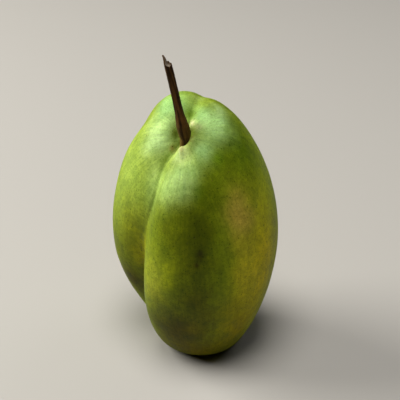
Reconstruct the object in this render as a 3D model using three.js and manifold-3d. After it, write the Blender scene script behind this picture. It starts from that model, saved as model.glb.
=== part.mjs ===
// A fresh pear with an oblique stem, a deep crease down its front left side and a
// dried calyx in the hollow underneath. Millimetres, +Z up. The fruit stands on the
// rim round the calyx hollow; the origin is under the middle of its box, at the floor.
import * as THREE from 'three';
import { mergeVertices } from 'three/addons/utils/BufferGeometryUtils.js';
import Module from 'manifold-3d';

const wasm = await Module();
wasm.setup();

// ---- Driving dimensions (millimetres; angles in radians, azimuth 0 is +X) ----
const GAP = 0.3;                  // air between the stem or calyx and the flesh round it

const BELLY_RADIUS = 35.2;        // half the fruit's width
const BODY_HALF_LENGTH = 62.4;    // half the length of the full egg, before the base is blunted
const BELLY_FULL = 0.008;         // share that fills out the belly
const END_SHIFT = -0.028;         // shares that pull the two ends in
const END_POINT = 0.036;
const OVAL = 0.025;               // how far from round the fruit is, and which way
const OVAL_DIRECTION = 1.77;
const LOPSIDE = 0.026;
const LOPSIDE_DIRECTION = 2.035;
const LEAN_X = -4.35;             // how far the top leans over the base
const LEAN_Y = 0.28;

const STEM_FORWARD = 0.551;       // the stem end is turned this far from the top towards the front
const STEM_SIDEWAYS = -0.086;
const TURN_FADE = 1.71;           // how fast that turning dies out down the fruit

const CREASE_DEPTH = 10;          // the deep crease at the belly, the stem and the base
const CREASE_DEPTH_TOP = 3.8;
const CREASE_DEPTH_BASE = 3.2;
const CREASE_WIDTH_FRONT = 0.21;  // its two flanks, as angles round the fruit
const CREASE_WIDTH_LEFT = 0.16;
const CREASE_WIDTH_FRONT_TOP = 0.32; // wider and shallower near the stem
const CREASE_WIDTH_LEFT_TOP = 0.45;
const CREASE_OPEN = [0.6, 1.8];   // it reaches its full depth between these
const CREASE_SOFT = 0.35;
const CREASE_COURSE = [-2.564, -0.909, -3.719]; // azimuth along the fruit, from the middle
const CREASE_BEND = 0.13;         // it swerves this far forward below the stem
const CREASE_BEND_DOWN = 0.78;
const CREASE_BEND_LENGTH = 0.44;

const VALLEY_DEPTH = 2.7;         // shallow valley that runs up behind the stem
const VALLEY_WIDTH = 0.32;
const VALLEY_DIRECTION = 1.21;
const DENT_DEPTH = 1.5;           // soft dent between the two swellings of the left side
const DENT_WIDTH = 0.25;
const DENT_DIRECTION = 2.42;
const DENT_DOWN = 0.83;
const LEFT_SWELL = 2.1;           // the left lobe bulges under its dent

const PIT_DEPTH = 4.2;            // hollow the stem stands in, a little left of the stem
const PIT_RADIUS = 6.2;
const PIT_X = -3.5;
const PIT_Y = 1;
const STEM_EASE = 5;              // the creases die out within this radius of the stem

const BASE_START = 49.5;          // the base is blunted from this far below the middle
const BASE_SOFT = 9;
const BASIN_DEPTH = 6;            // calyx hollow
const BASIN_RADIUS = 9;
const REST_CUT = 0.3;             // flat the fruit has worn itself to stand on

const COLUMNS = 84;
const ROWS = 46;

const STEM_ROOT = 6;              // length of stem inside the flesh
const STEM_TOP = 33;              // height of the uncut stem above the flesh
const STEM_LEAN = -0.208;         // sideways offset per height, and the kick at its foot
const STEM_KICK = -0.35;
const STEM_KICK_HEIGHT = 3;
const STEM_BACK = 0.12;
const STEM_PROFILE = [[-6, 1.9], [-3, 2], [0, 2.15], [1.5, 2.4], [3, 2.6], [5, 2.6], [7, 2.25], [10, 1.77],
  [13, 1.62], [16, 1.56], [21, 1.5], [27, 1.48], [30, 1.43], [33, 1.43]];
const BREAK_HEIGHT = 30.3;        // where the stem snapped
const SPLINTER_LENGTH = 6.4;

const CALYX_RADIUS = 2.4;
const CALYX_ROOT = 1.5;
const CALYX_CUP = 1.6;
const SEPALS = 5;
const SEPAL_LENGTH = 4.6;
const SEPAL_WIDTH = 2.1;
const SEPAL_THICK = 0.75;

// ---- Shape of the fruit ----
const wrapAngle = (a) => a - 2 * Math.PI * Math.floor((a + Math.PI) / (2 * Math.PI));
const clamp = (v, lo, hi) => Math.min(hi, Math.max(lo, v));
function ease(from, to, x) {
  const t = clamp((x - from) / (to - from), 0, 1);
  return t * t * (3 - 2 * t);
}
// one at zero, falling away on both sides, with a rounded bottom
const furrow = (q, soft) => Math.exp(soft - Math.hypot(q, soft));

// The azimuth of the deep crease at each distance down the fruit (0 stem, PI calyx).
function creaseAzimuth(down) {
  const u = down / Math.PI - 0.5;
  const bend = CREASE_BEND * Math.exp(-(((down - CREASE_BEND_DOWN) / CREASE_BEND_LENGTH) ** 2));
  return CREASE_COURSE[0] + CREASE_COURSE[1] * u + CREASE_COURSE[2] * u * u + bend;
}

// A point of the skin. around is the angle round the stem, down runs from stem to calyx.
function skinPoint(around, down) {
  const s = Math.sin(down);
  const c = Math.cos(down);
  const nearTop = clamp((c + 1) / 2, 0, 1);

  // turn the stem end forward over the egg
  const turn = nearTop ** TURN_FADE;
  const dir = new THREE.Vector3(s * Math.cos(around), s * Math.sin(around), c)
    .applyAxisAngle(new THREE.Vector3(1, 0, 0), STEM_FORWARD * turn)
    .applyAxisAngle(new THREE.Vector3(0, 1, 0), STEM_SIDEWAYS * turn);
  const flat = Math.hypot(dir.x, dir.y);
  const p = Math.atan2(flat, dir.z);
  const az = Math.atan2(dir.y, dir.x);
  const ux = flat > 1e-9 ? dir.x / flat : 1;
  const uy = flat > 1e-9 ? dir.y / flat : 0;

  // the egg and its outward normal
  const radius = BELLY_RADIUS * (Math.sin(p) - BELLY_FULL * Math.sin(3 * p));
  const height = BODY_HALF_LENGTH * (Math.cos(p) + END_SHIFT * Math.cos(2 * p) + END_POINT * Math.cos(3 * p));
  const dr = BELLY_RADIUS * (Math.cos(p) - 3 * BELLY_FULL * Math.cos(3 * p));
  const dz = -BODY_HALF_LENGTH * (Math.sin(p) + 2 * END_SHIFT * Math.sin(2 * p) + 3 * END_POINT * Math.sin(3 * p));
  const n = Math.hypot(dr, dz) + 1e-9;
  const outR = -dz / n;
  const outZ = dr / n;
  const oval = 1 + OVAL * Math.cos(2 * (az - OVAL_DIRECTION)) + LOPSIDE * Math.cos(az - LOPSIDE_DIRECTION);

  // creases, dents and the stem hollow, all measured along the normal
  const fromStem = BELLY_RADIUS * s;
  const begin = 1 - Math.exp(-((fromStem / STEM_EASE) ** 2));
  const crease = creaseAzimuth(down);
  const off = wrapAngle(around - crease);
  const open = ease(CREASE_OPEN[0], CREASE_OPEN[1], down);
  const deep = CREASE_DEPTH_TOP + (CREASE_DEPTH - CREASE_DEPTH_TOP) * open
    - (CREASE_DEPTH - CREASE_DEPTH_BASE) * ease(2, 2.75, down);
  const flank = off > 0
    ? CREASE_WIDTH_FRONT_TOP + (CREASE_WIDTH_FRONT - CREASE_WIDTH_FRONT_TOP) * open
    : CREASE_WIDTH_LEFT_TOP + (CREASE_WIDTH_LEFT - CREASE_WIDTH_LEFT_TOP) * open;
  const creaseCut = deep * (furrow(off / flank, CREASE_SOFT) - furrow(Math.PI / flank, CREASE_SOFT));
  const valleyCut = VALLEY_DEPTH * furrow(wrapAngle(around - VALLEY_DIRECTION) / VALLEY_WIDTH, 0.3)
    * (0.15 + 0.85 * ease(2.2, 0.6, down));
  const dentCut = DENT_DEPTH * Math.exp(-((wrapAngle(around - DENT_DIRECTION) / DENT_WIDTH) ** 2)
    - ((down - DENT_DOWN) / 0.45) ** 2);
  const pit = c > 0 ? PIT_DEPTH * Math.exp(-((fromStem * Math.cos(around) - PIT_X) ** 2
    + (fromStem * Math.sin(around) - PIT_Y) ** 2) / PIT_RADIUS ** 2) : 0;
  const leftMiddle = wrapAngle((crease + VALLEY_DIRECTION - 2 * Math.PI) / 2);
  const left = 0.5 * (1 + Math.cos(clamp(wrapAngle(around - leftMiddle) * 1.15, -Math.PI, Math.PI)));
  const swell = LEFT_SWELL * left * Math.sin(Math.max(0, down - Math.PI / 3) * 1.5) ** 2 * begin;
  const lift = swell - begin * (creaseCut + valleyCut + dentCut) - pit;

  const r = radius * oval + lift * outR;
  let z = height + lift * outZ;
  if (z < -BASE_START) z = -BASE_START - BASE_SOFT * (1 - Math.exp((z + BASE_START) / BASE_SOFT));
  if (dir.z < 0) z += BASIN_DEPTH * Math.exp(-((radius / BASIN_RADIUS) ** 2));
  const lean = z / (2 * BODY_HALF_LENGTH);
  return new THREE.Vector3(r * ux + LEAN_X * lean, r * uy + LEAN_Y * lean, z);
}

// A closed sphere of columns and rows laid over the skin, with the columns drawn
// together along the crease, then cut flat where it stands.
function fruitGeometry() {
  const geo = new THREE.SphereGeometry(1, COLUMNS, ROWS);
  const pos = geo.attributes.position;
  const uv = geo.attributes.uv;
  let lowest = Infinity;
  for (let i = 0; i < pos.count; i++) {
    const down = (1 - uv.getY(i)) * Math.PI;
    const turn = (uv.getX(i) - 0.5) * 2 * Math.PI;
    const pole = down < 1e-6 || down > Math.PI - 1e-6;
    const around = pole ? 0 : creaseAzimuth(down) + turn - 0.5 * Math.sin(turn);
    const q = skinPoint(around, down);
    pos.setXYZ(i, q.x, q.y, q.z);
    lowest = Math.min(lowest, q.z);
  }
  const floor = lowest + REST_CUT;
  for (let i = 0; i < pos.count; i++) pos.setZ(i, Math.max(pos.getZ(i), floor));
  return geo;
}

// ---- Solid helpers ----
function solid(geometry) {
  const bare = new THREE.BufferGeometry();
  bare.setAttribute('position', geometry.attributes.position.clone());
  if (geometry.index) bare.setIndex(geometry.index.clone());
  const merged = mergeVertices(bare, 1e-4);
  const index = merged.index.array;
  const kept = [];
  for (let i = 0; i < index.length; i += 3) {
    const [a, b, c] = [index[i], index[i + 1], index[i + 2]];
    if (a !== b && b !== c && c !== a) kept.push(a, b, c);
  }
  return new wasm.Manifold(new wasm.Mesh({
    numProp: 3,
    vertProperties: new Float32Array(merged.attributes.position.array),
    triVerts: new Uint32Array(kept),
  }));
}

function toGeometry(body) {
  const mesh = body.getMesh();
  const geo = new THREE.BufferGeometry();
  geo.setAttribute('position', new THREE.Float32BufferAttribute(mesh.vertProperties.slice(), 3));
  geo.setIndex([...mesh.triVerts]);
  const flat = geo.toNonIndexed();
  flat.computeVertexNormals();
  return flat;
}

// ---- Stem: a round stalk, bent by its height ----
const stemFoot = skinPoint(0, 0);

function stemCentre(s) {
  const x = STEM_LEAN * s + STEM_KICK * (1 - Math.exp(-Math.max(0, s) / STEM_KICK_HEIGHT));
  return new THREE.Vector3(stemFoot.x + x, stemFoot.y + STEM_BACK * s, stemFoot.z + s);
}

// The stalk's outline turned round its own middle, grown by extra on every side.
function stalk(extra, sides) {
  const outline = [new THREE.Vector2(0, -STEM_ROOT - extra)];
  STEM_PROFILE.forEach(([s, r], i) => {
    const z = i === 0 ? s - extra : s;
    outline.push(new THREE.Vector2(r + extra, z));
  });
  outline.push(new THREE.Vector2(0, STEM_TOP));
  const geo = new THREE.LatheGeometry(outline, sides);
  const pos = geo.attributes.position;
  for (let i = 0; i < pos.count; i++) {
    const s = pos.getY(i);
    const c = stemCentre(s);
    pos.setXYZ(i, c.x + pos.getZ(i), c.y + pos.getX(i), c.z);
  }
  return solid(geo);
}

function stemSolid() {
  const breakPoint = stemCentre(BREAK_HEIGHT);
  const cutter = new THREE.BoxGeometry(20, 20, 20);
  cutter.translate(0, 0, 10);
  cutter.applyQuaternion(new THREE.Quaternion().setFromUnitVectors(
    new THREE.Vector3(0, 0, 1), new THREE.Vector3(0.6, -0.4, 0.69).normalize()));
  cutter.translate(breakPoint.x, breakPoint.y, breakPoint.z);
  const snapped = stalk(0, 20).subtract(solid(cutter));

  // a thin splinter left standing at the far edge of the break
  const foot = stemCentre(BREAK_HEIGHT - 3).add(new THREE.Vector3(-0.75, 0.1, 0));
  const splinter = new THREE.CylinderGeometry(0.4, 0.72, SPLINTER_LENGTH, 8);
  splinter.translate(0, SPLINTER_LENGTH / 2, 0);
  splinter.applyQuaternion(new THREE.Quaternion().setFromUnitVectors(
    new THREE.Vector3(0, 1, 0), new THREE.Vector3(-0.33, 0.05, 0.94).normalize()));
  splinter.translate(foot.x, foot.y, foot.z);
  return snapped.add(solid(splinter));
}

// ---- Calyx: a dried cup with five sepals, rooted in the floor of the basin ----
const basinFloor = skinPoint(0, Math.PI);

function calyxSolid() {
  const cup = new THREE.LatheGeometry([
    new THREE.Vector2(0, CALYX_ROOT),
    new THREE.Vector2(0, -0.4),
    new THREE.Vector2(1.1, -0.5),
    new THREE.Vector2(1.5, -CALYX_CUP),
    new THREE.Vector2(2.1, -CALYX_CUP),
    new THREE.Vector2(CALYX_RADIUS, -0.6),
    new THREE.Vector2(CALYX_RADIUS, CALYX_ROOT),
    new THREE.Vector2(0, CALYX_ROOT),
  ], 20);
  cup.rotateX(Math.PI / 2);
  let body = solid(cup);
  for (let i = 0; i < SEPALS; i++) {
    const sepal = new THREE.ConeGeometry(SEPAL_WIDTH / 2, SEPAL_LENGTH, 8, 3);
    sepal.translate(0, SEPAL_LENGTH / 2, 0);
    sepal.scale(1, 1, SEPAL_THICK / SEPAL_WIDTH);
    sepal.rotateZ(-Math.PI / 2);
    sepal.rotateY(0.42).translate(1.5, 0, -1.05);
    sepal.rotateZ((i + 0.2) * 2 * Math.PI / SEPALS);
    body = body.add(solid(sepal));
  }
  return body.translate([basinFloor.x, basinFloor.y, basinFloor.z]);
}

// ---- Assembly ----
const calyxSocket = wasm.Manifold.cylinder(CALYX_ROOT + GAP + 4, CALYX_RADIUS + GAP, CALYX_RADIUS + GAP, 24)
  .translate([basinFloor.x, basinFloor.y, basinFloor.z - 4]);
const stem = stemSolid();
const calyx = calyxSolid();
const fruit = solid(fruitGeometry()).subtract(stalk(GAP, 20)).subtract(calyxSocket);

const skin = new THREE.MeshStandardMaterial({ color: '#8fa32a', roughness: 0.42, metalness: 0 });
const bark = new THREE.MeshStandardMaterial({ color: '#3b2a1d', roughness: 0.8, metalness: 0 });
const husk = new THREE.MeshStandardMaterial({ color: '#4a3522', roughness: 0.9, metalness: 0 });

const pear = new THREE.Group();
pear.name = 'pear';
for (const [name, body, material] of [['fruit', fruit, skin], ['stem', stem, bark], ['calyx', calyx, husk]]) {
  const mesh = new THREE.Mesh(toGeometry(body), material);
  mesh.name = name;
  pear.add(mesh);
}

const box = new THREE.Box3().setFromObject(pear);
const middle = box.getCenter(new THREE.Vector3());
for (const mesh of pear.children) mesh.position.set(-middle.x, -middle.y, -box.min.z);

export default pear;
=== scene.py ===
import math

import bmesh
import bpy
from mathutils import Matrix, Vector, noise


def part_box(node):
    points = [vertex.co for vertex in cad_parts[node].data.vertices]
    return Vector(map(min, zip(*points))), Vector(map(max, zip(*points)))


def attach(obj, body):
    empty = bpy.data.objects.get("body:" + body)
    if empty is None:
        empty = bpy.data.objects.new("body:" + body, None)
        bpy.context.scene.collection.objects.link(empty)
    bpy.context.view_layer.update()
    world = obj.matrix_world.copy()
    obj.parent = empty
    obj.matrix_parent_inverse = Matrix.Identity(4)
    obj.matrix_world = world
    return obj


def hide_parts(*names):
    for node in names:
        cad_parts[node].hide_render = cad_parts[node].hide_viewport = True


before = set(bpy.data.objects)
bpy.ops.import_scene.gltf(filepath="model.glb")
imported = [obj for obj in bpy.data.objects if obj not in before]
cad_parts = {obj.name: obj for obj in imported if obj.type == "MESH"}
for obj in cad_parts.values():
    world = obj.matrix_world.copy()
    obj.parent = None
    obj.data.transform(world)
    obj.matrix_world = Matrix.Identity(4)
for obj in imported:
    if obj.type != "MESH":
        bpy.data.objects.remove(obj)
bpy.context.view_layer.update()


# ----------------------------------------------------------------------------
# The fruit: flesh and skin grown as one piece. It is an egg that stands on its
# calyx end, with the stem end turned forward, a deep crease down its front left
# side, a shallow valley behind the stem and a hollow round each end.
# ----------------------------------------------------------------------------
# lengths are in millimetres; angles are in radians, round the core from the right
# (around) or from the stem towards the calyx (down)
BELLY_RADIUS, BODY_HALF_LENGTH = 35.2, 62.4
BELLY_FULL = 0.008        # how much fuller the middle is than a plain oval
END_SHIFT, END_POINT = -0.028, 0.036
OVAL, OVAL_DIRECTION = 0.025, 1.77
LOPSIDE, LOPSIDE_DIRECTION = 0.026, 2.035
LEAN_X, LEAN_Y = -4.35, 0.28

# how far the stem end is turned forward and to the left, and how soon that fades
STEM_FORWARD, STEM_SIDEWAYS, TURN_FADE = 0.551, -0.086, 1.71

# the crease starts shallow and wide at the stem, is deep where it runs down the
# front left, and grows shallow again where it ends near the calyx
CREASE_DEPTH, CREASE_DEPTH_TOP, CREASE_DEPTH_BASE = 10.0, 3.8, 3.2
CREASE_WIDTH_FRONT, CREASE_WIDTH_LEFT = 0.21, 0.16
CREASE_WIDTH_FRONT_TOP, CREASE_WIDTH_LEFT_TOP = 0.25, 0.45
CREASE_OPEN, CREASE_END = (0.6, 1.8), (2, 2.75)
CREASE_SOFT = 0.35
CREASE_COURSE = (-2.564, -0.909, -3.719)
CREASE_BEND, CREASE_BEND_DOWN, CREASE_BEND_LENGTH = 0.18, 0.66, 0.44

# the shallow valley behind the stem, a dent on the back left, the fuller left lobe
VALLEY_DEPTH, VALLEY_WIDTH, VALLEY_DIRECTION = 2.7, 0.32, 1.21
VALLEY_SOFT, VALLEY_FADE, VALLEY_LEAST = 0.3, (0.6, 2.2), 0.15
DENT_DEPTH, DENT_WIDTH, DENT_LENGTH = 1.5, 0.25, 0.45
DENT_DIRECTION, DENT_DOWN = 2.42, 0.83
LEFT_SWELL, LEFT_SWELL_NARROW = 2.1, 1.15

# the hollow that the stem stands in, and the flattened base with its basin
PIT_DEPTH, PIT_RADIUS, PIT_X, PIT_Y = 4.2, 6.2, -3.5, 1.0
STEM_EASE = 5.0           # the creases fade out this near to the stem
BASE_START, BASE_SOFT = 49.5, 9.0
BASIN_DEPTH, BASIN_RADIUS = 6.0, 9.0

SKIN_COLUMNS, SKIN_ROWS = 380, 238
COLUMNS_DRAWN_IN = 0.5    # how much closer the columns stand at the crease
SKIN_INSET = 0.2          # the finished skin lies this far inside the plain solid
MILLIMETRE = 0.001


def ease(start, end, value):
    """Smoothly from 0 at the start to 1 at the end."""
    t = min(1.0, max(0.0, (value - start) / (end - start)))
    return t * t * (3 - 2 * t)


def wrap_angle(angle):
    return (angle + math.pi) % (2 * math.pi) - math.pi


def furrow(across, soft):
    """Depth across a furrow whose bottom is rounded by soft: 1 at its middle."""
    return math.exp(soft - math.hypot(across, soft))


def crease_azimuth(down):
    """The angle round the core at which the crease lies, this far down."""
    u = down / math.pi - 0.5
    bend = CREASE_BEND * math.exp(
        -((down - CREASE_BEND_DOWN) / CREASE_BEND_LENGTH) ** 2)
    return CREASE_COURSE[0] + CREASE_COURSE[1] * u + CREASE_COURSE[2] * u * u + bend


def skin_point(around, down):
    """A point of the skin in millimetres, and how deep it lies in the crease."""
    # the direction, turned so that the stem end comes forward
    s, c = math.sin(down), math.cos(down)
    turn = max(0.0, (c + 1) / 2) ** TURN_FADE
    forward, sideways = STEM_FORWARD * turn, STEM_SIDEWAYS * turn
    x, y, z = s * math.cos(around), s * math.sin(around), c
    y, z = (y * math.cos(forward) - z * math.sin(forward),
            y * math.sin(forward) + z * math.cos(forward))
    x, z = (x * math.cos(sideways) + z * math.sin(sideways),
            -x * math.sin(sideways) + z * math.cos(sideways))
    flat = math.hypot(x, y)
    p, azimuth = math.atan2(flat, z), math.atan2(y, x)
    ux, uy = (x / flat, y / flat) if flat > 1e-9 else (1.0, 0.0)

    # the egg there, and the slope of its side
    radius = BELLY_RADIUS * (math.sin(p) - BELLY_FULL * math.sin(3 * p))
    height = BODY_HALF_LENGTH * (math.cos(p) + END_SHIFT * math.cos(2 * p)
                                 + END_POINT * math.cos(3 * p))
    dr = BELLY_RADIUS * (math.cos(p) - 3 * BELLY_FULL * math.cos(3 * p))
    dz = -BODY_HALF_LENGTH * (math.sin(p) + 2 * END_SHIFT * math.sin(2 * p)
                              + 3 * END_POINT * math.sin(3 * p))
    n = math.hypot(dr, dz) + 1e-9
    oval = (1 + OVAL * math.cos(2 * (azimuth - OVAL_DIRECTION))
            + LOPSIDE * math.cos(azimuth - LOPSIDE_DIRECTION))

    # what is cut from the egg and what swells out of it
    from_stem = BELLY_RADIUS * s
    begin = 1 - math.exp(-(from_stem / STEM_EASE) ** 2)
    crease = crease_azimuth(down)
    off = wrap_angle(around - crease)
    open_down = ease(CREASE_OPEN[0], CREASE_OPEN[1], down)
    deep = (CREASE_DEPTH_TOP + (CREASE_DEPTH - CREASE_DEPTH_TOP) * open_down
            - (CREASE_DEPTH - CREASE_DEPTH_BASE) * ease(CREASE_END[0], CREASE_END[1], down))
    if off > 0:
        top, side = CREASE_WIDTH_FRONT_TOP, CREASE_WIDTH_FRONT
    else:
        top, side = CREASE_WIDTH_LEFT_TOP, CREASE_WIDTH_LEFT
    flank = top + (side - top) * open_down
    crease_cut = deep * (furrow(off / flank, CREASE_SOFT)
                         - furrow(math.pi / flank, CREASE_SOFT))
    off_valley = wrap_angle(around - VALLEY_DIRECTION)
    valley_cut = (VALLEY_DEPTH * furrow(off_valley / VALLEY_WIDTH, VALLEY_SOFT)
                  * (VALLEY_LEAST + (1 - VALLEY_LEAST)
                     * (1 - ease(VALLEY_FADE[0], VALLEY_FADE[1], down))))
    off_dent = wrap_angle(around - DENT_DIRECTION)
    dent_cut = DENT_DEPTH * math.exp(-(off_dent / DENT_WIDTH) ** 2
                                     - ((down - DENT_DOWN) / DENT_LENGTH) ** 2)
    pit = 0.0
    if c > 0:
        pit = PIT_DEPTH * math.exp(-((from_stem * math.cos(around) - PIT_X) ** 2
                                     + (from_stem * math.sin(around) - PIT_Y) ** 2)
                                   / PIT_RADIUS ** 2)
    left_middle = wrap_angle((crease + VALLEY_DIRECTION - 2 * math.pi) / 2)
    off_left = abs(wrap_angle(around - left_middle) * LEFT_SWELL_NARROW)
    left = 0.5 * (1 + math.cos(min(math.pi, off_left)))
    swell = LEFT_SWELL * left * math.sin(max(0.0, down - math.pi / 3) * 1.5) ** 2 * begin
    lift = swell - begin * (crease_cut + valley_cut + dent_cut) - pit

    # moved along the egg's normal, then flattened and hollowed at the base
    r = radius * oval - lift * dz / n
    z = height + lift * dr / n
    if z < -BASE_START:
        z = -BASE_START - BASE_SOFT * (1 - math.exp((z + BASE_START) / BASE_SOFT))
    if p > math.pi / 2:
        z += BASIN_DEPTH * math.exp(-(radius / BASIN_RADIUS) ** 2)
    lean = z / (2 * BODY_HALF_LENGTH)
    return Vector((r * ux + LEAN_X * lean, r * uy + LEAN_Y * lean, z)), crease_cut * begin


skin_mesh = bmesh.new()
bmesh.ops.create_uvsphere(skin_mesh, u_segments=SKIN_COLUMNS, v_segments=SKIN_ROWS, radius=1)
crease_layer = skin_mesh.verts.layers.float.new("crease")
spoke_layer = skin_mesh.verts.layers.float_vector.new("spoke")
ground_layer = skin_mesh.verts.layers.float_color.new("ground")
russet_layer = skin_mesh.verts.layers.float.new("russet")
for vert in skin_mesh.verts:
    down = math.acos(max(-1.0, min(1.0, vert.co.z)))
    turn = math.atan2(vert.co.y, vert.co.x)
    around = 0.0
    if 1e-4 < down < math.pi - 1e-4:
        around = crease_azimuth(down) + turn - COLUMNS_DRAWN_IN * math.sin(turn)
    vert.co, vert[crease_layer] = skin_point(around, down)
    vert[spoke_layer] = Vector((math.cos(around), math.sin(around), BELLY_RADIUS * down))

# the plain solid says where the skin stands; it is cut flat where it rests
REST_CUT = 0.3
lows = [min(v.co[i] for v in skin_mesh.verts) for i in range(3)]
highs = [max(v.co[i] for v in skin_mesh.verts) for i in range(3)]
solid_low, solid_high = (Vector(corner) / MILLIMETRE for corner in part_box("fruit"))
place = Vector(((solid_low.x + solid_high.x - lows[0] - highs[0]) / 2,
                (solid_low.y + solid_high.y - lows[1] - highs[1]) / 2,
                solid_low.z - lows[2] - REST_CUT))

# fine relief, measured in millimetres round the stem: x to its right, y behind it
SWELLS = 0.12             # low uneven swells all over the fruit
PUCKERS = 0.11            # wrinkles that run out from the stem like spokes
PUCKER_START, PUCKER_END = 3.0, 16.0
PUCKERS_ROUND, FINE_PUCKERS_ROUND = 9.0, 17
CREASE_LINE, CREASE_LINE_WIDTH = 0.45, 0.9   # a finer fold along the crease's bottom
CREASE_LINE_START, CREASE_LINE_END = (2.5, 6), (20, 45)
FOLDS = (                 # x, y, reach and height of the small folds at the stem's foot
    (2.9, -0.9, 1.6, 0.9),
    (1.2, -3.0, 1.6, 1.2),
    (-2.1, -3.7, 1.6, 2.0),
    (-3.3, -0.8, 1.3, -0.9),
    (-5.0, 1.9, 1.3, -0.8),
    (1.6, 5.4, 1.3, 0.5),
    (4.2, 3.0, 1.6, 0.35),
    (-4.8, -1.2, 1.2, 0.4),
)
BRUISES = (               # sunken spots: place on the skin in millimetres, radius, depth
    ((2.2, -36.2, 64.0), 1.2, 0.22),
    ((0.8, -36.5, 59.6), 0.8, 0.14),
    ((9.5, -34.0, 69.5), 0.6, 0.10),
    ((-20.5, 22.0, 71.0), 1.0, 0.18),
    ((27.5, 12.0, 47.0), 0.8, 0.14),
)


def fine_relief(spot, spoke):
    """Height of the small folds, wrinkles and swells, in millimetres."""
    height = SWELLS * (0.7 * noise.noise(spot * 0.09) + 0.3 * noise.noise(spot * 0.24))
    out = BELLY_RADIUS * math.sin(min(spoke.z / BELLY_RADIUS, math.pi / 2))
    if out < 2 * PUCKER_END and spoke.z < BELLY_RADIUS * math.pi / 2:
        near = ease(PUCKER_START, PUCKER_START + 3, out) * (1 - ease(9, PUCKER_END, out))
        patchy = max(0.0, 0.55 + 1.3 * noise.noise(spot * 0.16 + Vector((7, 3, 1))))
        wrinkle = noise.noise(Vector((spoke.x * PUCKERS_ROUND, spoke.y * PUCKERS_ROUND,
                                      out * 0.05)))
        wrinkle += 0.5 * noise.noise(Vector((spoke.x * FINE_PUCKERS_ROUND,
                                             spoke.y * FINE_PUCKERS_ROUND,
                                             3 + out * 0.12)))
        height += PUCKERS * near * patchy * wrinkle
        for x, y, reach, rise in FOLDS:
            gap = math.hypot(out * spoke.x - x, out * spoke.y - y)
            height += rise * math.exp(-(gap / reach) ** 2)
    down = spoke.z / BELLY_RADIUS
    beside = wrap_angle(math.atan2(spoke.y, spoke.x) - crease_azimuth(down)) * out
    height -= (CREASE_LINE * math.exp(-(beside / CREASE_LINE_WIDTH) ** 2)
               * ease(CREASE_LINE_START[0], CREASE_LINE_START[1], spoke.z)
               * (1 - ease(CREASE_LINE_END[0], CREASE_LINE_END[1], spoke.z)))
    for centre, radius, depth in BRUISES:
        gap = (spot - Vector(centre)).length
        if gap < 4 * radius:
            height -= depth * math.exp(-(gap / radius) ** 2)
    return height


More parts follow.
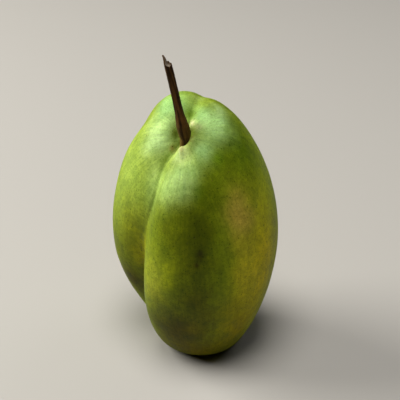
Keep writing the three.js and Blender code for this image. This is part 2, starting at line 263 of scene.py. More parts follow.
# where the ripening has coloured the skin, and where shade and sheen are painted into it,
# each patch over the ones before it: colour, middle in millimetres, reach to the sides
# and up and down, and how fully the colour covers there
LEAF_GREEN = (0.21, 0.29, 0.008)
SKIN_COLOURS = (
    # the back
    ((0.26, 0.36, 0.012), (-26, 14, 74), 20, 40, 0.8),            # yellow green, back left
    ((0.17, 0.27, 0.008), (2, 38, 70), 16, 34, 0.7),              # deeper green, back
    ((0.36, 0.35, 0.008), (30, 14, 52), 17, 34, 0.8),             # yellow, back right
    ((0.40, 0.31, 0.025), (25, 22, 74), 8, 13, 0.5),              # faint blush, back right
    # the left lobe and the flanks of the crease
    ((0.33, 0.47, 0.08), (-25, -11, 88), 12, 24, 0.85),           # yellow green left lobe, with a painted sheen ...
    ((0.24, 0.27, 0.002), (-25, -16, 62), 9, 14, 0.85),           # ... turning olive lower down, partly painted shade
    ((0.13, 0.16, 0.003), (-19.5, -21, 66), 4.5, 9, 0.5),         # shaded flank of the crease
    ((0.10, 0.12, 0.002), (-33.5, -7, 52), 7, 13, 0.7),           # painted shade, olive on the lobe's left side
    ((0.068, 0.06, 0.001), (-26.5, -7, 32), 8.5, 15, 0.95),       # painted shade, dark where the lobe ends
    ((0.40, 0.40, 0.003), (-21.5, -16.5, 48), 5, 11, 0.85),       # yellow strip along the crease
    # the right side, the front and the foot
    ((0.52, 0.445, 0.005), (27, -22, 51), 12, 30, 0.95),          # ripe yellow right side
    ((0.58, 0.52, 0.02), (20.5, -30, 49), 5, 18, 0.75),           # ripest along its front
    ((0.125, 0.156, 0.001), (-3, -34, 66), 14, 32, 0.95),         # middle green front, darkened by painted shade
    ((0.058, 0.072, 0.001), (1.5, -34.5, 75), 6.5, 40, 0.76),     # painted shade, a dark green band down the front
    ((0.12, 0.215, 0.001), (1.6, -30, 89.5), 2.8, 5, 0.65),       # bright green by the pale band
    ((0.10, 0.13, 0.002), (8, -29.5, 84), 6.5, 11, 0.55),         # painted shade, dark green right of the band
    ((0.085, 0.10, 0.001), (-11, -31, 74), 3.6, 5, 0.45),         # dark blotch, left of the band
    ((0.42, 0.47, 0.035), (-16.5, -28.5, 44.5), 7, 12, 0.85),     # yellow green by the crease
    ((0.040, 0.028, 0.001), (-7, -26, 23), 16, 20, 0.92),         # brownish olive foot, front, darkened by painted shade
    ((0.29, 0.23, 0.001), (18, -25, 22), 8.5, 15, 0.8),           # olive foot, right
    ((0.12, 0.082, 0.001), (2, -25, 7), 22, 10, 0.75),            # browner where it stands, darkened by painted shade
    ((0.13, 0.12, 0.002), (2, 16, 4), 26, 18, 0.7),               # olive foot, back
    # the right shoulder and the blush
    ((0.082, 0.14, 0.002), (18, -15, 100), 11, 10.5, 0.95),       # dark green right shoulder, darkened by painted shade
    ((0.09, 0.13, 0.002), (12.5, -22, 96), 4, 5, 0.4),            # and painted shade on towards the front
    ((0.15, 0.18, 0.003), (19, -22, 87), 9, 7, 0.6),              # olive below the shoulder
    ((0.45, 0.33, 0.055), (17.6, -28, 77), 5.2, 11, 0.85),        # blush, right of the front
    # pale mint skin round the stem and down to the crease: paler skin with a painted sheen and
    # painted light over it
    ((0.51, 0.76, 0.33), (-13, -13.5, 103.5), 6, 8, 0.85),        # pale, left of the stem
    ((0.58, 0.85, 0.30), (-10.8, -12, 107), 2.8, 4, 0.8),         # palest beside the foot
    ((0.47, 0.64, 0.2), (-16.5, -5, 106), 4.5, 5, 0.6),           # fading out to the left
    ((0.31, 0.58, 0.22), (-9, -5, 113), 8, 6, 0.8),               # pale, behind the stem, left
    ((0.39, 0.68, 0.27), (3.5, -12, 112), 4, 5, 0.8),             # pale, behind the stem, right
    ((0.56, 0.90, 0.36), (8.5, -13, 109), 6, 6.5, 0.95),          # pale right shoulder
    ((0.48, 0.72, 0.30), (9, -6.5, 112.5), 4.2, 4, 0.65),         # pale over the top behind it
    ((0.30, 0.41, 0.12), (1.5, -1, 115), 3, 3, 0.6),              # and at the very top
    ((0.19, 0.34, 0.04), (12.4, -13.2, 107), 2.2, 2.4, 0.45),     # its darker right edge
    ((0.44, 0.74, 0.29), (3, -21.5, 102), 4, 5, 0.8),             # pale band from there ...
    ((0.46, 0.71, 0.21), (-1.5, -26, 96.3), 4.4, 5, 0.9),         # ... on across the front ...
    ((0.54, 0.82, 0.31), (-6, -27, 92.4), 4.4, 7.2, 0.94),        # ... to the rim of the crease
    ((0.43, 0.65, 0.20), (-10.7, -26, 88), 4, 7, 0.8),            # and down along the rim
    ((0.50, 0.72, 0.20), (-15.2, -20.5, 88), 3.6, 13, 0.85),      # paler flank of the crease
    ((0.11, 0.21, 0.001), (8.6, -22.6, 99.6), 2.7, 3.0, 0.75),    # full green under the shoulder
    ((0.64, 0.82, 0.34), (-5.0, -21.6, 100.2), 3.3, 3.6, 0.87),   # crest below the stem
    # the hollows beside the stem with their painted shade, and low on the front and the left lobe
    ((0.19, 0.30, 0.07), (1.2, -19.5, 105), 2.0, 2.2, 0.7),       # grey green by the stem's foot
    ((0.13, 0.24, 0.012), (-1.6, -10, 112), 2.8, 4, 0.9),         # painted shade in the valley behind the stem
    ((0.15, 0.21, 0.006), (-7.6, -13.2, 105.5), 1.7, 3, 0.8),     # painted shadow in the pocket left of the stem
    ((0.13, 0.115, 0.001), (6, -34, 33), 8, 10, 0.4),             # olive, low on the front
    ((0.06, 0.062, 0.001), (-0.8, -35.5, 41.5), 5, 5, 0.6),       # painted shade, darker olive above that
    ((0.42, 0.50, 0.006), (-10.5, -33.7, 52.5), 4.5, 6, 0.38),    # yellow green, left of that
    ((0.10, 0.11, 0.002), (-28.5, -13, 54), 5, 6, 0.3),           # painted shade, olive low on the left lobe ...
    ((0.36, 0.50, 0.05), (-31, -10, 71), 5, 7, 0.3),              # ... and yellow green above it
    ((0.17, 0.15, 0.001), (-1.5, -31, 24.5), 4, 4, 0.55),         # lighter olive at the foot
    ((0.38, 0.34, 0.005), (15, -31, 36), 4.5, 8, 0.5),            # yellow, low on the right
    # bruises and corky folds
    ((0.028, 0.024, 0.001), (2.2, -36.2, 64), 1.5, 2.6, 0.75),    # the larger brown bruise
    ((0.035, 0.022, 0.001), (0.8, -36.5, 59.6), 1.0, 1.3, 0.75),  # the smaller bruise
    ((0.62, 0.62, 0.34), (-0.7, -13.5, 109.4), 1.3, 1.5, 0.95),   # cream fold, right of the stem
    ((0.54, 0.50, 0.29), (1.7, -15.0, 108.6), 1.5, 1.3, 0.7),     # running on to the right
    ((0.62, 0.58, 0.30), (-4.6, -20.2, 102.0), 1.2, 1.5, 0.95),   # cream crest, below the stem
    ((0.54, 0.50, 0.22), (-6.6, -17.6, 102.6), 0.8, 1.2, 0.8),    # and beside the pocket
    ((0.40, 0.26, 0.05), (-6.9, -15.0, 105.2), 0.8, 1.0, 0.6),    # rusty at the stem's foot
    ((0.34, 0.20, 0.06), (-8.6, -16.2, 100.6), 1.1, 1.4, 0.7),    # rusty fold in the crease
)
# how far the edges of the colours wander, at large and finely; a patch that reaches
# no further than SMALL_PATCH only ripples
WANDER, RIPPLE = 2.6, 0.5
SMALL_PATCH, SMALL_RIPPLE = 4, 0.35


def ground_colour(spot):
    """The skin's colour under its dots and streaks."""
    far, near = spot * 0.11, spot * 0.5
    drift = Vector((noise.noise(far), noise.noise(far + Vector((9, 0, 0))),
                    noise.noise(far + Vector((0, 9, 0)))))
    ripple = Vector((noise.noise(near), noise.noise(near + Vector((0, 0, 5))),
                     noise.noise(near + Vector((5, 0, 0)))))
    at_large = spot + WANDER * drift + RIPPLE * ripple
    red, green, blue = LEAF_GREEN
    for colour, (x, y, z), across, along, cover in SKIN_COLOURS:
        here = at_large if across > SMALL_PATCH else spot + SMALL_RIPPLE * ripple
        gap = (((here.x - x) ** 2 + (here.y - y) ** 2) / across ** 2
               + (here.z - z) ** 2 / along ** 2)
        if gap < 5:
            share = cover * math.exp(-gap)
            red += (colour[0] - red) * share
            green += (colour[1] - green) * share
            blue += (colour[2] - blue) * share
    return red, green, blue, 1.0


RUSSET_RING, RUSSET_BASIN = 2.9, 9.0    # reach of the brown cork from stem and calyx


def russet_cover(spot, spoke, crease_depth):
    """How much brown cork covers the skin: round the stem, in the basin, in the crease."""
    from_stem, from_calyx = spoke.z, math.pi * BELLY_RADIUS - spoke.z
    speckle = 0.5 + noise.noise(spot * 0.9) + 0.6 * noise.noise(spot * 2.1)
    ring = math.exp(-(from_stem / RUSSET_RING) ** 2)
    basin = math.exp(-(from_calyx / RUSSET_BASIN) ** 2)
    deep = 0.25 * ease(6, 9.5, crease_depth)
    return min(1.0, max(0.0, speckle * (0.9 * ring + deep) + basin * (0.35 + 0.9 * speckle)))


skin_mesh.normal_update()
for vert in skin_mesh.verts:
    spot, spoke = vert.co + place, vert[spoke_layer]
    vert[ground_layer] = ground_colour(spot)
    vert[russet_layer] = russet_cover(spot, spoke, vert[crease_layer])
    vert.co = spot + vert.normal * (fine_relief(spot, spoke) - SKIN_INSET)
for vert in skin_mesh.verts:
    vert.co.z = max(vert.co.z, solid_low.z)
    vert.co *= MILLIMETRE
for face in skin_mesh.faces:
    face.smooth = True

fruit_data = bpy.data.meshes.new("pear_fruit")
skin_mesh.to_mesh(fruit_data)
skin_mesh.free()
fruit = bpy.data.objects.new("pear_fruit", fruit_data)
bpy.context.scene.collection.objects.link(fruit)


def finish(name, roughness, gloss):
    """A new material with its shader's even values set; returns it with its node maker."""
    material = bpy.data.materials.new(name)
    material.use_nodes = True
    tree = material.node_tree
    shader = tree.nodes["Principled BSDF"]
    shader.inputs["Roughness"].default_value = roughness
    shader.inputs["Specular IOR Level"].default_value = gloss

    def put(kind, settings=None, **inputs):
        node = tree.nodes.new(kind)
        for key, value in (settings or {}).items():
            setattr(node, key, value)
        for key, value in inputs.items():
            numbered = key[0] == "i" and key[1:].isdigit()
            socket = node.inputs[int(key[1:]) if numbered else key.replace("_", " ")]
            if isinstance(value, bpy.types.NodeSocket):
                tree.links.new(value, socket)
            else:
                socket.default_value = value
        return node
    return material, shader, put, tree.links.new


def sums(put, operation, a, b):
    return put("ShaderNodeMath", {"operation": operation}, i0=a, i1=b).outputs[0]


def spread(put, value, low, high, out_low, out_high):
    """value carried smoothly from one range to another."""
    return put("ShaderNodeMapRange", {"interpolation_type": "SMOOTHSTEP"}, Value=value,
               From_Min=low, From_Max=high, To_Min=out_low, To_Max=out_high).outputs["Result"]


def mixed(put, blend, share, a, b):
    return put("ShaderNodeMix", {"data_type": "RGBA", "blend_type": blend},
               i0=share, i6=a, i7=b).outputs[2]


def stretched(put, where, scale):
    return put("ShaderNodeMapping", None, Vector=where, Scale=scale).outputs[0]


def in_millimetres(put, coords, scale):
    return stretched(put, coords, tuple(part / MILLIMETRE for part in scale))


def grainy(put, where, scale, detail, roughness=0.5):
    """Soft uneven light and dark, with scale changes to the unit of length."""
    return put("ShaderNodeTexNoise", None, Vector=where, Scale=scale, Detail=detail,
               Roughness=roughness).outputs[0]


skin, skin_shader, put, link = finish("pear_skin", 0.55, 0.08)
coords = put("ShaderNodeTexCoord").outputs["Object"]
even = in_millimetres(put, coords, (1, 1, 1))
spokes = put("ShaderNodeAttribute", {"attribute_name": "spoke"}).outputs["Vector"]
ground = put("ShaderNodeAttribute", {"attribute_name": "ground"}).outputs["Color"]
russet = put("ShaderNodeAttribute", {"attribute_name": "russet"}).outputs["Fac"]

# cloudy light and dark areas, fine flecks, and faint streaks from stem to calyx
clouds = grainy(put, even, 0.16, 4, 0.6)
flecks = grainy(put, even, 1.4, 4, 0.68)
streaks = grainy(put, stretched(put, spokes, (28, 28, 0.09)), 1, 3, 0.6)
tint = mixed(put, "MULTIPLY", 1.0, ground,
             mixed(put, "MIX", spread(put, clouds, 0.32, 0.68, 0, 1),
                   (0.84, 0.86, 0.76, 1), (1.16, 1.12, 1.07, 1)))
tint = mixed(put, "MULTIPLY", spread(put, flecks, 0.46, 0.70, 0, 0.7), tint,
             (0.62, 0.68, 0.48, 1))
tint = mixed(put, "MULTIPLY", 1.0, tint,
             mixed(put, "MIX", spread(put, streaks, 0.38, 0.62, 0, 1),
                   (0.92, 0.93, 0.92, 1), (1.09, 1.07, 1.05, 1)))

# where the ground colour is mint green, on the pale skin and its painted sheen, the mottling and
# the dots are fainter
ground_parts = put("ShaderNodeSeparateColor", None, Color=ground).outputs
mint = sums(put, "SUBTRACT", ground_parts["Green"], ground_parts["Red"])
MINT_STARTS, MINT_FULL = 0.06, 0.18


def by_mint(elsewhere, on_mint):
    return spread(put, mint, MINT_STARTS, MINT_FULL, elsewhere, on_mint)


mottle = grainy(put, even, 0.55, 2, 0.6)
tint = mixed(put, "MULTIPLY", by_mint(1, 0.45), tint,
             mixed(put, "MIX", spread(put, mottle, 0.36, 0.64, 0, 1),
                   (0.90, 0.90, 0.86, 1), (1.11, 1.10, 1.08, 1)))

# the dots' coordinates are pulled about a little, so that no dot is quite round
DOT_WOBBLE = 0.42
wobble = put("ShaderNodeTexNoise", None, Vector=even, Scale=2.4, Detail=1.0).outputs["Color"]
uneven = put("ShaderNodeVectorMath", {"operation": "MULTIPLY_ADD"},
             i0=wobble, i1=(DOT_WOBBLE, DOT_WOBBLE, DOT_WOBBLE), i2=even).outputs[0]


def dots(cell, reach, kept, offset):
    """Dots of uneven outline about cell millimetres apart, of which this share is kept."""
    where = put("ShaderNodeMapping", None, Vector=uneven, Location=offset,
                Scale=(1 / cell, 1 / cell, 1 / cell)).outputs[0]
    cells = put("ShaderNodeTexVoronoi", {"feature": "F1"}, Vector=where, Scale=1.0)
    dot = spread(put, cells.outputs["Distance"], 0.4 * reach / cell, 1.3 * reach / cell, 1, 0)
    pick = put("ShaderNodeSeparateColor", None, Color=cells.outputs["Color"]).outputs[0]
    return sums(put, "MULTIPLY", dot, spread(put, pick, 0, kept, 1, 0))


# the lenticels, finer and coarser dark dots between them, and a few corky ones
lenticels = dots(0.95, 0.22, 1.0, (0, 0, 0))
stipple = dots(0.55, 0.14, 1.3, (3, 1, 2))
coarse_dots = dots(1.7, 0.34, 0.9, (5, 2, 1))
corky_dots = dots(3.2, 0.36, 0.8, (1, 5, 0))
for kind, strength, darkened in ((stipple, (0.9, 0.4), (0.52, 0.62, 0.38, 1)),
                                 (lenticels, (1, 0.6), (0.34, 0.45, 0.22, 1)),
                                 (coarse_dots, (1, 0.1), (0.38, 0.48, 0.25, 1))):
    tint = mixed(put, "MULTIPLY", sums(put, "MULTIPLY", kind, by_mint(*strength)), tint,
                 darkened)
tint = mixed(put, "MIX", sums(put, "MULTIPLY", corky_dots, 0.55), tint, (0.10, 0.075, 0.015, 1))
cork = mixed(put, "MIX", spread(put, flecks, 0.35, 0.65, 0, 1),
             (0.12, 0.075, 0.022, 1), (0.30, 0.22, 0.085, 1))
tint = mixed(put, "MIX", russet, tint, cork)
link(tint, skin_shader.inputs["Base Color"])

# a soft waxy shine, duller on cork and dots
waxy = spread(put, clouds, 0.3, 0.7, 0.50, 0.60)
dull = sums(put, "ADD", sums(put, "MULTIPLY", russet, 0.3),
            sums(put, "MULTIPLY", lenticels, 0.15))
link(sums(put, "ADD", waxy, dull), skin_shader.inputs["Roughness"])

# pores, slight lumps and streaks stand up a few hundredths of a millimetre, and the
# dots lie a little deeper
pores = grainy(put, even, 1.9, 3, 0.6)
lumps = grainy(put, even, 0.38, 2)
relief = sums(put, "MULTIPLY", pores, 0.22)
for part, rise in ((lumps, 0.6), (streaks, 0.18), (lenticels, -0.12),
                   (sums(put, "MULTIPLY", russet, pores), 0.8)):
    relief = sums(put, "ADD", relief, sums(put, "MULTIPLY", part, rise))
skin_bump = put("ShaderNodeBump", None, Height=relief, Strength=0.6, Distance=0.00022)
link(skin_bump.outputs[0], skin_shader.inputs["Normal"])

# a little light goes through the skin into the flesh
skin_shader.inputs["Subsurface Weight"].default_value = 0.12
skin_shader.inputs["Subsurface Radius"].default_value = (1.0, 0.8, 0.2)
skin_shader.inputs["Subsurface Scale"].default_value = 0.0025

fruit_data.materials.append(skin)
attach(fruit, "root")
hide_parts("fruit")


# ----------------------------------------------------------------------------
# The calyx: what the flower left, dried brown in the hollow under the fruit. Its
# cup grows out of the flesh and carries five curled sepals and the dead stamens.
# ----------------------------------------------------------------------------
# radius and height of the cup's section, from its middle out over its rim to its root
CUP_PROFILE = ((0.0, -0.35), (1.0, -0.45), (1.45, -0.9), (1.6, -1.35), (1.85, -1.5),
               (2.12, -1.35), (2.25, -0.8), (2.3, -0.2), (2.3, 0.6), (0.0, 0.6))
CUP_SIDES = 64
SEPALS, SEPAL_LENGTH, SEPAL_WIDTH, SEPAL_THICK = 5, 4.3, 2.0, 0.32
SEPAL_DROOP = 0.42
STAMENS, STAMEN_LENGTH, STAMEN_RADIUS = 14, 1.5, 0.09
STAMEN_TURN = 2.39996     # each stands this much further round than the one before
basin_floor = skin_point(0.0, math.pi)[0] + place

calyx_mesh = bmesh.new()
outline = [calyx_mesh.verts.new((radius, 0, height)) for radius, height in CUP_PROFILE]
edges = [calyx_mesh.edges.new(pair) for pair in zip(outline, outline[1:])]
bmesh.ops.spin(calyx_mesh, geom=outline + edges, cent=(0, 0, 0), axis=(0, 0, 1), dvec=(0, 0, 0),
               angle=2 * math.pi, steps=CUP_SIDES, use_merge=True, use_duplicate=False)
bmesh.ops.remove_doubles(calyx_mesh, verts=calyx_mesh.verts, dist=0.001)
for vert in calyx_mesh.verts:
    turn = math.atan2(vert.co.y, vert.co.x)
    rough = 0.10 * noise.noise(Vector((5 * math.cos(turn), 5 * math.sin(turn), 2 * vert.co.z)))
    if math.hypot(vert.co.x, vert.co.y) > 1.2 and vert.co.z < 0.5:
        vert.co.x += rough * math.cos(turn)
        vert.co.y += rough * math.sin(turn)
        vert.co.z += rough

# the sepals: thin leaves that droop, curl and twist, each a little differently
for number in range(SEPALS):
    sepal = bmesh.ops.create_grid(calyx_mesh, x_segments=20, y_segments=8, size=1)["verts"]
    for vert in sepal:
        t, side = (vert.co.x + 1) / 2, vert.co.y
        width = SEPAL_WIDTH / 2 * (0.75 + 0.5 * t - 0.2 * t * t) * (1 - t ** 3) ** 0.8 + 0.05
        keel = 0.30 * (1 - side * side) * (1 - 0.6 * t)
        curl = 0.85 * t ** 3 + 0.15 * math.sin(7 * t + number)
        wave = 0.12 * math.sin(9 * t + 2.1 * number) * side
        reach = 1.45 + SEPAL_LENGTH * t * (0.92 + 0.06 * math.sin(2.3 * number))
        drop = -1.15 - math.sin(SEPAL_DROOP) * SEPAL_LENGTH * t * (1 - 0.28 * t * t)
        vert.co = Vector((reach, side * width + 0.25 * t * t * math.sin(1.9 * number),
                          drop + keel - 0.10 + curl * (0.8 if number % 2 else 0.45) + wave))
    leaf = list({face for vert in sepal for face in vert.link_faces})
    shell = bmesh.ops.solidify(calyx_mesh, geom=leaf, thickness=SEPAL_THICK)["geom"]
    turned = {v for v in shell if isinstance(v, bmesh.types.BMVert)} | set(sepal)
    bmesh.ops.rotate(calyx_mesh, verts=list(turned), cent=(0, 0, 0),
                     matrix=Matrix.Rotation((number + 0.2) * 2 * math.pi / SEPALS, 3, "Z"))

# the stamens: a tuft of short threads in the cup
for number in range(STAMENS):
    turn = number * STAMEN_TURN
    out = 0.35 + 0.55 * ((number * 7) % STAMENS) / STAMENS
    lean = Matrix.Rotation(0.5 * out * (1 + 0.4 * math.sin(5 * number)), 4,
                           Vector((math.sin(turn), -math.cos(turn), 0)))
    move = Matrix.Translation((out * math.cos(turn), out * math.sin(turn), -0.4)) @ lean \
        @ Matrix.Translation((0, 0, -STAMEN_LENGTH / 2))
    bmesh.ops.create_cone(calyx_mesh, cap_ends=True, segments=8, radius1=STAMEN_RADIUS * 1.3,
                          radius2=STAMEN_RADIUS, depth=STAMEN_LENGTH, matrix=move)
bmesh.ops.recalc_face_normals(calyx_mesh, faces=calyx_mesh.faces)
for vert in calyx_mesh.verts:
    vert.co = (vert.co + basin_floor) * MILLIMETRE
for face in calyx_mesh.faces:
    face.smooth = True
calyx_data = bpy.data.meshes.new("pear_calyx")
calyx_mesh.to_mesh(calyx_data)
calyx_mesh.free()
calyx = bpy.data.objects.new("pear_calyx", calyx_data)
bpy.context.scene.collection.objects.link(calyx)

husk, husk_shader, put, link = finish("dried_calyx", 0.85, 0.2)
coords = put("ShaderNodeTexCoord").outputs["Object"]
even = in_millimetres(put, coords, (1, 1, 1))
blotches = grainy(put, even, 1.1, 4, 0.6)
veins = grainy(put, in_millimetres(put, coords, (5, 5, 0.8)), 1, 3)
tint = mixed(put, "MIX", spread(put, blotches, 0.35, 0.65, 0, 1),
             (0.040, 0.022, 0.010, 1), (0.17, 0.10, 0.045, 1))
tint = mixed(put, "MULTIPLY", spread(put, veins, 0.5, 0.7, 0, 0.7), tint, (0.35, 0.30, 0.25, 1))
link(tint, husk_shader.inputs["Base Color"])
link(spread(put, blotches, 0.3, 0.7, 0.9, 0.7), husk_shader.inputs["Roughness"])
husk_bump = put("ShaderNodeBump", None, Height=sums(put, "ADD", veins, blotches), Strength=0.8,
                Distance=0.0002)
link(husk_bump.outputs[0], husk_shader.inputs["Normal"])
calyx_data.materials.append(husk)
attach(calyx, "root")
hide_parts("calyx")


# ----------------------------------------------------------------------------
# The stem: a woody stalk that swells at its foot, where it is rooted in the
# hollow, with bark in fine ridges. It was snapped off the tree, which left a torn
# end of pale fibres inside a ragged rim, and one short spur standing on the left.
# ----------------------------------------------------------------------------
# it leans left and back; heights are counted from where it leaves the hollow
STEM_LEAN, STEM_CURVE, STEM_KICK, STEM_KICK_HEIGHT = -0.208, -0.00035, -0.35, 3.0
STEM_BACK, ROOT_LEAN = 0.12, 0.12
STEM_ROOT = -5.5
STEM_PROFILE = ((-6, 1.9), (-3, 2.1), (0, 2.35), (1.5, 2.45), (3, 2.5), (5, 2.48), (7, 2.15),
                (10, 1.72), (13, 1.6), (16, 1.57), (21, 1.51), (27, 1.48), (30, 1.42), (36, 1.42))
STEM_SWOLLEN = 12         # below this height the swelling is rounded
BREAK_HEIGHT = 29.2
BREAK_SLOPE_X, BREAK_SLOPE_Y = -0.25, 0.4
CRATER = 0.5              # the core is torn out this much deeper than the bark
SPUR_X, SPUR_Y, SPUR_REACH = -0.85, 0.2, 0.66
SPUR_HEIGHT, SPUR_LEAN = 3.35, -0.9
CHIP_X, CHIP_Y, CHIP_REACH, CHIP_HEIGHT = 1.05, 0.35, 0.38, 0.35
STEM_SIDES, STEM_RINGS, END_RINGS, ROOT_RINGS = 96, 230, 40, 8
stem_foot = skin_point(0.0, 0.0)[0] + place


def stem_radius(height):
    for (low, r0), (high, r1) in zip(STEM_PROFILE, STEM_PROFILE[1:]):
        if height <= high:
            t = min(1.0, max(0.0, (height - low) / (high - low)))
            if high < STEM_SWOLLEN:
                t = ease(0, 1, t)
            return r0 + (r1 - r0) * t
    return STEM_PROFILE[-1][1]


def stem_centre(height):
    kick = STEM_KICK * (1 - math.exp(-max(0.0, height) / STEM_KICK_HEIGHT))
    lean = (STEM_LEAN + STEM_CURVE * height) * height if height > 0 else ROOT_LEAN * height
    return stem_foot + Vector((lean + kick, STEM_BACK * height, height))


def stump(gap, reach):
    """One on top of a stump of this reach, zero beyond its steep sides."""
    return math.exp(-(gap / reach) ** 5)


def broken_end(x, y, rim):
    """Height of the torn end over the plain one, and the spur's share of it."""
    fibres = (0.22 * noise.noise(Vector((x * 3.1, y * 3.1, 4)))
              + 0.16 * noise.noise(Vector((x * 8, y * 8, 9))))
    spur = stump(math.hypot(x - SPUR_X, y - SPUR_Y), SPUR_REACH)
    chip = CHIP_HEIGHT * stump(math.hypot(x - CHIP_X, y - CHIP_Y), CHIP_REACH)
    core = -CRATER * (1 - rim ** 3) * (1 - spur)
    edge = 0.3 * rim ** 6 * noise.noise(Vector((x * 2.2, y * 2.2, 1)))
    height = BREAK_SLOPE_X * x + BREAK_SLOPE_Y * y + fibres + core + edge + chip
    return height * (1 - spur) + SPUR_HEIGHT * spur + 0.12 * spur * fibres, spur


def bark_ridges(angle, height):
    """How far the bark's ridges and knots stand out."""
    x, y = math.cos(angle), math.sin(angle)
    return (0.045 * math.sin(5 * angle + 0.05 * height)
            + 0.035 * math.sin(9 * angle + 1.3 - 0.04 * height)
            + 0.10 * noise.noise(Vector((2.4 * x, 2.4 * y, height * 0.10)))
            + 0.05 * noise.noise(Vector((6 * x, 6 * y, height * 0.25)))
            + 0.05 * noise.noise(Vector((3 * x, 3 * y, height * 1.1))))


# a ball whose first rings become the torn end, its last ones the root, and the rest
# the bark between them
stem_mesh = bmesh.new()
bmesh.ops.create_uvsphere(stem_mesh, u_segments=STEM_SIDES, v_segments=STEM_RINGS, radius=1)
grain_layer = stem_mesh.verts.layers.float_vector.new("grain")
torn_layer = stem_mesh.verts.layers.float.new("torn")
foot_layer = stem_mesh.verts.layers.float.new("foot")
tip_radius = stem_radius(BREAK_HEIGHT)
for vert in stem_mesh.verts:
    ring = math.acos(max(-1.0, min(1.0, vert.co.z))) / math.pi * STEM_RINGS
    angle = math.atan2(vert.co.y, vert.co.x)
    rim = min(1.0, ring / END_RINGS)
    ragged, spur = broken_end(tip_radius * rim * math.cos(angle),
                              tip_radius * rim * math.sin(angle), rim)
    top = BREAK_HEIGHT + ragged
    down = max(0.0, (ring - END_RINGS) / (STEM_RINGS - ROOT_RINGS - END_RINGS))
    height = top + (STEM_ROOT - top) * min(1.0, down)
    closing = max(0.0, (ring - (STEM_RINGS - ROOT_RINGS)) / ROOT_RINGS)
    radius = (stem_radius(height) + bark_ridges(angle, height)) * rim * (1 - closing)
    above = max(0.0, height - BREAK_HEIGHT + 1)
    lean = SPUR_LEAN * spur * min(1.0, above / 4) ** 1.5
    vert.co = stem_centre(min(height, BREAK_HEIGHT)) + Vector(
        (radius * math.cos(angle) + lean, radius * math.sin(angle),
         max(0.0, height - BREAK_HEIGHT)))
    vert[grain_layer] = Vector((math.cos(angle) * rim, math.sin(angle) * rim, height))
    # the pale torn wood fades towards the back of the break: painted shade on the crater's far
    # wall
    towards_back = tip_radius * rim * math.sin(angle)
    inside = (1 - ease(0.45, 0.85, rim)) * (1 - 0.7 * ease(0, 0.6, towards_back))
    vert[torn_layer] = inside * (1 - 0.8 * spur) if ring < END_RINGS + 1 else 0.0
    vert[foot_layer] = 1 - ease(0.5, 9, height)
for vert in stem_mesh.verts:
    vert.co *= MILLIMETRE
for face in stem_mesh.faces:
    face.smooth = True
stem_data = bpy.data.meshes.new("pear_stem")
stem_mesh.to_mesh(stem_data)
stem_mesh.free()
stem = bpy.data.objects.new("pear_stem", stem_data)
bpy.context.scene.collection.objects.link(stem)

bark, bark_shader, put, link = finish("pear_bark", 0.6, 0.07)
coords = put("ShaderNodeTexCoord").outputs["Object"]
even = in_millimetres(put, coords, (1, 1, 1))
grain = put("ShaderNodeAttribute", {"attribute_name": "grain"}).outputs["Vector"]
torn = put("ShaderNodeAttribute", {"attribute_name": "torn"}).outputs["Fac"]
foot = put("ShaderNodeAttribute", {"attribute_name": "foot"}).outputs["Fac"]

# broad and fine streaks along the bark, with pale specks
broad = grainy(put, stretched(put, grain, (1.6, 1.6, 0.10)), 1, 3)
fine = grainy(put, stretched(put, grain, (9, 9, 0.35)), 1, 4, 0.65)
specks = grainy(put, even, 2.6, 3, 0.6)
tint = mixed(put, "MIX", spread(put, broad, 0.36, 0.62, 0, 1),
             (0.016, 0.007, 0.002, 1), (0.095, 0.043, 0.009, 1))
tint = mixed(put, "MULTIPLY", spread(put, fine, 0.46, 0.66, 0, 0.8), tint, (0.35, 0.32, 0.32, 1))
tint = mixed(put, "MIX", spread(put, specks, 0.62, 0.74, 0, 0.5), tint, (0.15, 0.09, 0.045, 1))

# the foot has painted shade on its right, is greener all round, and has painted light along its
# left
sides = put("ShaderNodeSeparateXYZ", None, Vector=grain).outputs
painted_right_shade = sums(put, "MULTIPLY", spread(put, sides["X"], 0.1, 0.9, 0, 1), foot)
tint = mixed(put, "MULTIPLY", painted_right_shade, tint, (0.30, 0.26, 0.24, 1))
greening = sums(put, "MULTIPLY", foot, spread(put, broad, 0.40, 0.60, 0.25, 0.8))
tint = mixed(put, "MIX", greening, tint, (0.080, 0.050, 0.006, 1))
painted_lit_side = sums(put, "MULTIPLY", spread(put, sides["X"], -0.98, -0.55, 0.8, 0), foot)
tint = mixed(put, "MIX", painted_lit_side, tint, (0.20, 0.14, 0.028, 1))

# the torn wood inside the break is pale, except where painted shade darkens its back
heartwood = mixed(put, "MIX", spread(put, fine, 0.35, 0.6, 0, 1),
                  (0.07, 0.045, 0.028, 1), (0.42, 0.35, 0.27, 1))
tint = mixed(put, "MIX", torn, tint, heartwood)
link(tint, bark_shader.inputs["Base Color"])
link(spread(put, specks, 0.35, 0.7, 0.52, 0.8), bark_shader.inputs["Roughness"])
ribs = sums(put, "ADD", sums(put, "MULTIPLY", fine, 0.8), sums(put, "MULTIPLY", specks, 0.5))
bark_bump = put("ShaderNodeBump", None, Height=ribs, Strength=0.7, Distance=0.00025)
link(bark_bump.outputs[0], bark_shader.inputs["Normal"])

stem_data.materials.append(bark)
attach(stem, "root")
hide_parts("stem")


# ----------------------------------------------------------------------------
# The floor: a plain pale board under the pear, painted matt and far larger than the
# pear. It isn't part of the object.
# ----------------------------------------------------------------------------
FLOOR_HALF_WIDTH = 3      # metres
floor_mesh = bmesh.new()
bmesh.ops.create_grid(floor_mesh, x_segments=2, y_segments=2, size=FLOOR_HALF_WIDTH)
floor_data = bpy.data.meshes.new("floor")
floor_mesh.to_mesh(floor_data)
floor_mesh.free()
floor = bpy.data.objects.new("floor", floor_data)
bpy.context.scene.collection.objects.link(floor)
floor_paint = bpy.data.materials.new("floor_paint")
floor_paint.use_nodes = True
floor_shader = floor_paint.node_tree.nodes["Principled BSDF"]
floor_shader.inputs["Base Color"].default_value = (0.42, 0.40, 0.375, 1)
floor_shader.inputs["Roughness"].default_value = 0.7
floor_data.materials.append(floor_paint)


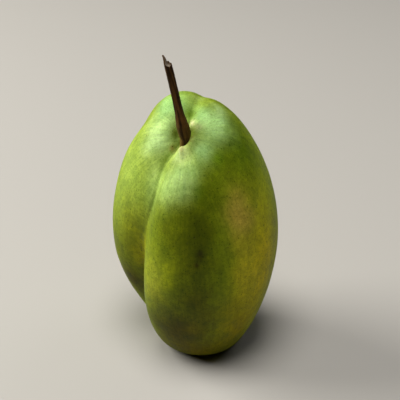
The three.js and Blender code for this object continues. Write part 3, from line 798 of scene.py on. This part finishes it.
# ----------------------------------------------------------------------------
# Camera and light: the camera looks down on the pear from the front. A large soft
# window stands on the pear's left, a soft ceiling light hangs high over its front,
# and a weak second window fills in from behind on the right.
# ----------------------------------------------------------------------------
VIEW_DOWN = math.radians(30)
VIEW_DISTANCE = 420.0
AIM_X, AIM_UP = 1.32, 12.17     # where it aims, to the right of and above the fruit's middle
SENSOR_WIDTH, LENS = 36, 90
ahead = Vector((0, math.cos(VIEW_DOWN), -math.sin(VIEW_DOWN)))
up = Vector((0, math.sin(VIEW_DOWN), math.cos(VIEW_DOWN)))
right = Vector((1, 0, 0))
camera_data = bpy.data.cameras.new("camera")
camera_data.sensor_width = SENSOR_WIDTH
camera_data.lens = LENS
camera = bpy.data.objects.new("camera", camera_data)
bpy.context.scene.collection.objects.link(camera)
turned = Matrix((right, up, -ahead)).transposed().to_4x4()
turned.translation = (place + AIM_X * right + AIM_UP * up - VIEW_DISTANCE * ahead) * MILLIMETRE
camera.matrix_world = turned
bpy.context.scene.camera = camera

LIGHT_AIM = Vector((0, 0, 0.06))
LIGHT_DISTANCE = 1.3      # metres


def soft_light(name, azimuth, height, size, watts, colour):
    """A round soft light, turned to the pear from this many degrees round and up."""
    turn, rise = math.radians(azimuth), math.radians(height)
    spot = Vector((math.cos(turn) * math.cos(rise), math.sin(turn) * math.cos(rise),
                   math.sin(rise))) * LIGHT_DISTANCE + LIGHT_AIM
    lamp_data = bpy.data.lights.new(name, "AREA")
    lamp_data.shape = "DISK"
    lamp_data.size = size
    lamp_data.energy = watts
    lamp_data.color = colour
    lamp = bpy.data.objects.new(name, lamp_data)
    bpy.context.scene.collection.objects.link(lamp)
    lamp.location = spot
    lamp.rotation_euler = (LIGHT_AIM - spot).to_track_quat("-Z", "Y").to_euler()


soft_light("window", 164, 34, 0.9, 21, (1, 0.99, 0.93))
soft_light("ceiling", -110, 80, 0.7, 14.5, (1, 0.99, 0.95))
soft_light("second_window", 28, 45, 0.8, 1.8, (1, 1, 1))

# the room gives no light of its own
room = bpy.data.worlds.new("room")
room.use_nodes = True
room.node_tree.nodes["Background"].inputs["Strength"].default_value = 0.0
bpy.context.scene.world = room
bpy.context.scene.view_settings.view_transform = "Standard"
